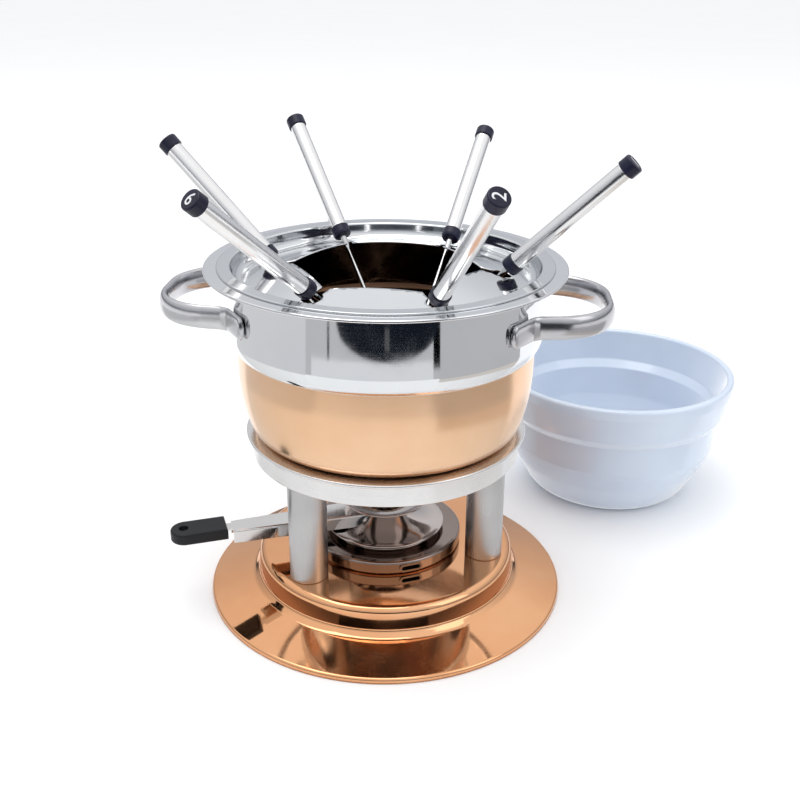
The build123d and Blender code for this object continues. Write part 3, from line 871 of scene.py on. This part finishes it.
def fork_digit(tag, number, place):
    """The number on a fork's end cap."""
    words = bpy.data.curves.new(tag + "_digit", "FONT")
    words.body = str(number)
    words.align_x, words.align_y = "CENTER", "CENTER"
    words.size = DIGIT_HEIGHT * MM
    words.extrude = DIGIT_DEPTH * MM
    words.offset = DIGIT_SWELL * MM
    text = bpy.data.objects.new(tag + "_digit_curve", words)
    scene.collection.objects.link(text)
    digit = bpy.data.meshes.new_from_object(text)
    bpy.data.objects.remove(text)
    lift = Matrix.Translation(Vector((0.0, 0.0, DIGIT_AT * MM)))
    turn = Matrix.Rotation(radians(DIGIT_TURN.get(number, USUAL_DIGIT_TURN)), 4, "Z")
    shown = place @ lift @ turn
    finish_mesh(digit, tag + "_digit", digit_paint, tag, [], shown, 30.0)


for number in range(1, 7):
    tag = f"fork_{number}"
    place = fork_place(tag)
    tube = rounded(
        (
            (BORE_RADIUS, TUBE_START),
            (TUBE_RADIUS, TUBE_START),
            (TUBE_RADIUS, TUBE_END),
            (BORE_RADIUS, TUBE_END),
        ),
        0.25,
        30.0,
    )
    lathe(tag + "_tube", tube, fork_steel, tag, [tag + "_handle"], place, 64)
    cap = rounded(
        ((0.0, CAP_START), (CAP_RADIUS, CAP_START), (CAP_RADIUS, CAP_TOP), (0.0, CAP_TOP)),
        (0.3, 0.9),
        12.0,
    )
    lathe(tag + "_end_cap", cap, black_plastic, tag, [tag + "_cap"], place, 64)
    collar = rounded(
        ((1.3, -3.0), (5.0, -3.0), (5.5, -1.5), (5.5, TUBE_START), (1.3, TUBE_START)),
        (0.5, 0.8, 0.3),
        15.0,
    )
    lathe(tag + "_foot", collar, black_plastic, tag, [tag + "_collar"], place, 64)
    fork_shaft(tag, place)
    fork_digit(tag, number, place)

# ---------------------------------------------------------------- burner
THROAT_RADIUS, THROAT_TOP = 12.5, 50.5
REGULATOR_THICKNESS = 1.0
bell_line = (
    [Vector((35.7, 39.5)), Vector((32.4, 39.5))]
    + arc_through((31.8, 39.5), (19.6, 42.9), (THROAT_RADIUS, 49.5), 20)
    + [Vector((THROAT_RADIUS, THROAT_TOP))]
)
mouth_line = arc_through((24.4, 54.0), (19.6, 51.6), (THROAT_RADIUS, THROAT_TOP), 16)
for name, line, node in (
    ("regulator_cone", bell_line, "regulator_bell"),
    ("regulator_flare", mouth_line, "regulator_mouth"),
):
    section = sheet(line[::-1], -REGULATOR_THICKNESS)
    lathe(name, section, burner_steel, "regulator", [node], burner_place)

pad_line = rounded(((0.0, 28.0), (30.5, 28.0), (30.5, 33.4), (0.0, 33.6)), (1.2, 1.6), 12.0)
pad = lathe(
    "fuel_wadding", pad_line, wadding, "burner", ["burner_fuel_pad"], burner_place, 128
)

# ---------------------------------------------------------------- ceramic insert
bowl_outside = (
    (0.0, 0.0),
    (54.0, 0.0),
    (66.5, 22.0),
    (71.6, 33.0),
    (73.2, 38.0),
    (73.8, 58.0),
    (78.6, 64.0),
    (82.5, 82.0),
    (82.5, 89.0),
)
bowl_inside = (
    (77.5, 89.0),
    (73.4, 66.5),
    (68.6, 61.0),
    (67.6, 40.0),
    (61.5, 23.0),
    (50.0, 5.0),
    (0.0, 5.0),
)
bowl_line = rounded(
    bowl_outside + bowl_inside,
    (14.0, 20.0, 3.0, 3.0, 2.5, 4.0, 3.0, 2.2, 2.2, 3.0, 2.0, 8.0, 20.0, 12.0),
)
bowl = lathe(
    "serving_bowl",
    bowl_line,
    white_ceramic,
    "insert",
    ["ceramic_insert"],
    insert_place,
    sharp=60.0,
)
# In the photograph nothing on the pot reflects the bowl; bowl_patch, below, lies in its place.
bowl.visible_glossy = False


# ---------------------------------------------------------------- CAD nodes that stay
for node, material in (
    ("base_underplate", zinc_steel),
    ("base_backing_plate", zinc_steel),
    ("base_screws", zinc_steel),
    ("burner_pan", pan_shade_steel),
    ("burner_gauze", gauze_wire),
    ("regulator_vent_ring", burner_steel),
    ("regulator_strap", strap_steel),
    ("regulator_grip", grip_plastic),
):
    slots = frame["nodes"][node].data.materials
    slots.clear()
    slots.append(material)

# ---------------------------------------------------------------- studio
FLOOR_HALF = 15.0
floor_mesh = bpy.data.meshes.new("floor")
floor_corners = ((-1, -1), (1, -1), (1, 1), (-1, 1))
floor_mesh.from_pydata(
    [(x * FLOOR_HALF, y * FLOOR_HALF, 0) for x, y in floor_corners], [], [(0, 1, 2, 3)]
)
floor = bpy.data.objects.new("studio_floor", floor_mesh)
floor.location.z = -0.0002
scene.collection.objects.link(floor)
floor_mesh.materials.append(floor_material())

SKY = (
    (0.0, (0.03, 0.032, 0.04, 1.0)),
    (0.05, (0.10, 0.11, 0.13, 1.0)),
    (0.14, (0.50, 0.52, 0.56, 1.0)),
    (0.2, (0.56, 0.58, 0.62, 1.0)),
    (0.47, (0.76, 0.77, 0.79, 1.0)),
    (0.62, (0.94, 0.95, 0.97, 1.0)),
    (1.0, (1.0, 1.0, 1.0, 1.0)),
)


def studio_world():
    """A room that is bright above and dark at the horizon, behind a plain pale backdrop."""
    world = bpy.data.worlds.new("studio")
    scene.world = world
    world.use_nodes = True
    nodes, links = world.node_tree.nodes, world.node_tree.links
    look = nodes.new("ShaderNodeTexCoord")
    split = nodes.new("ShaderNodeSeparateXYZ")
    sky = nodes.new("ShaderNodeValToRGB")
    fill_ramp(sky, SKY)
    room = nodes["Background"]
    room.inputs["Strength"].default_value = 1.08
    backdrop = nodes.new("ShaderNodeBackground")
    backdrop.inputs["Color"].default_value = (0.94, 0.95, 0.96, 1.0)
    ray = nodes.new("ShaderNodeLightPath")
    chosen = nodes.new("ShaderNodeMixShader")
    links.new(look.outputs["Generated"], split.inputs[0])
    links.new(split.outputs["Z"], sky.inputs["Fac"])
    links.new(sky.outputs["Color"], room.inputs["Color"])
    links.new(ray.outputs["Is Camera Ray"], chosen.inputs["Fac"])
    links.new(room.outputs[0], chosen.inputs[1])
    links.new(backdrop.outputs[0], chosen.inputs[2])
    links.new(chosen.outputs[0], nodes["World Output"].inputs["Surface"])


studio_world()

# The cards show only in glossy reflections. Their colours are linear, and may pass 1.
WHITE = (1.0, 1.0, 1.0, 1.0)
FLOOR_WHITE = (1.0, 1.01, 1.01, 1.0)
GREY = (0.97, 0.98, 1.0, 1.0)
WARM = (1.0, 0.93, 0.86, 1.0)
DARK = (0.008, 0.011, 0.018, 1.0)
GLOW_SECTORS = 8
PATCH_RADIUS = 0.072


def card(name, corners, strength, tint=WHITE):
    """A flat card seen only in glossy reflections."""
    mesh = bpy.data.meshes.new(name)
    mesh.from_pydata(corners, [], [tuple(range(len(corners)))])
    made = bpy.data.materials.new(name)
    made.use_nodes = True
    tree = made.node_tree
    tree.nodes.remove(tree.nodes["Principled BSDF"])
    glow = tree.nodes.new("ShaderNodeEmission")
    glow.inputs["Color"].default_value = tint
    glow.inputs["Strength"].default_value = strength
    tree.links.new(glow.outputs[0], tree.nodes["Material Output"].inputs["Surface"])
    mesh.materials.append(made)
    piece = bpy.data.objects.new(name, mesh)
    scene.collection.objects.link(piece)
    piece.visible_camera = False
    piece.visible_diffuse = False
    piece.visible_shadow = False
    piece.visible_transmission = False


def sector(name, angles, near, far, strength, tint, height):
    """A card shaped as part of a ring on the floor, between two angles in degrees.

    near and far are distances in metres, or functions of the share of the way between the angles.
    """
    steps = 24
    start, end = angles
    inner, outer = [], []
    for k in range(steps + 1):
        share = k / steps
        angle = radians(start + (end - start) * share)
        for edge, line in ((near, inner), (far, outer)):
            distance = edge(share) if callable(edge) else edge
            line.append((distance * cos(angle), distance * sin(angle), height))
    card(name, inner + outer[::-1], strength, tint)


def gap_edge(share):
    """The near edge of the dark room behind the front cards: closest in the middle."""
    return 0.640 - 0.112 * max(0.0, 1 - (2 * share - 1) ** 2) ** 0.5


sector("panel_left", (-215.0, -143.0), 0.36, 0.9, 0.76, GREY, 0.0006)
sector("panel_front", (-143.0, -56.0), 0.40, 0.9, 0.60, GREY, 0.0006)
for k in range(GLOW_SECTORS):
    angles = (-215.0 + 10.0 * k, 12.0 - 9.5 * k)
    strength, height = 0.84 + 0.036 * k, 0.0003 + 0.00003 * k
    sector(f"floor_glow_{k}", angles, 0.15, 0.40, strength, FLOOR_WHITE, height)
sector("panel_front_near", (-139.0, -60.0), 0.40, 0.53, 0.86, GREY, 0.0009)
sector("panel_left_edge", (-128.0, -126.5), 0.53, 0.65, 0.12, GREY, 0.0010)
sector("panel_right_edge", (-60.0, -55.5), 0.51, 0.66, 0.05, DARK, 0.0010)
sector("panel_right", (-56.0, 12.0), 0.36, 0.9, 0.58, GREY, 0.0006)
sector("panel_right_near", (-56.0, 12.0), 0.27, 0.36, 0.74, WARM, 0.0008)
sector("front_streak", (-91.0, -88.0), 0.56, 0.63, 0.10, GREY, 0.0014)
sector("front_gap", (-122.0, -56.0), gap_edge, 2.0, 1.0, DARK, 0.0012)
bowl_patch = [(insert_mid.x + x, insert_mid.y + y, 0.0003) for x, y in circle(PATCH_RADIUS, 48)]
card("bowl_patch", bowl_patch, 0.9)
room_gap = [(-1.25, -1.6, 0.002), (1.1, -1.6, 0.002), (1.1, -1.6, 0.34), (-1.25, -1.6, 0.34)]
card("room_gap", room_gap, 1.0, DARK)


def area(name, place, target, width, height, power):
    """A rectangular lamp that points at target."""
    data = bpy.data.lights.new(name, "AREA")
    data.shape = "RECTANGLE"
    data.size, data.size_y = width, height
    data.energy = power
    lamp = bpy.data.objects.new(name, data)
    lamp.location = place
    lamp.rotation_euler = (Vector(target) - Vector(place)).to_track_quat("-Z", "Y").to_euler()
    scene.collection.objects.link(lamp)


area("key", (-0.4, 0.0, 2.4), (0, 0, 0.1), 1.8, 1.8, 22.0)
area("fill", (1.8, -1.0, 1.6), (0, 0, 0.1), 1.2, 1.6, 5.0)

# ---------------------------------------------------------------- camera
# Fitted to the circles of the rim, the ring and the base; angles in radians.
eye = Vector((0.0, -0.55375, 0.35898))
yaw, pitch, roll = 0.02113, 0.40425, 0.01015
ahead = Vector((sin(yaw) * cos(pitch), cos(yaw) * cos(pitch), -sin(pitch)))
right = Vector((cos(yaw), -sin(yaw), 0.0))
up = right.cross(ahead)
rolled_right = right * cos(roll) + up * sin(roll)
rolled_up = up * cos(roll) - right * sin(roll)
camera_data = bpy.data.cameras.new("camera")
camera_data.sensor_width = 36.0
camera_data.lens = 46.59
camera_data.shift_x = -0.0079
camera_data.shift_y = -0.0063
camera_data.clip_end = 100.0
camera = bpy.data.objects.new("camera", camera_data)
axes = Matrix((rolled_right, rolled_up, -ahead)).transposed().to_4x4()
camera.matrix_world = Matrix.Translation(eye) @ axes
scene.collection.objects.link(camera)
scene.camera = camera
scene.view_settings.view_transform = "Standard"
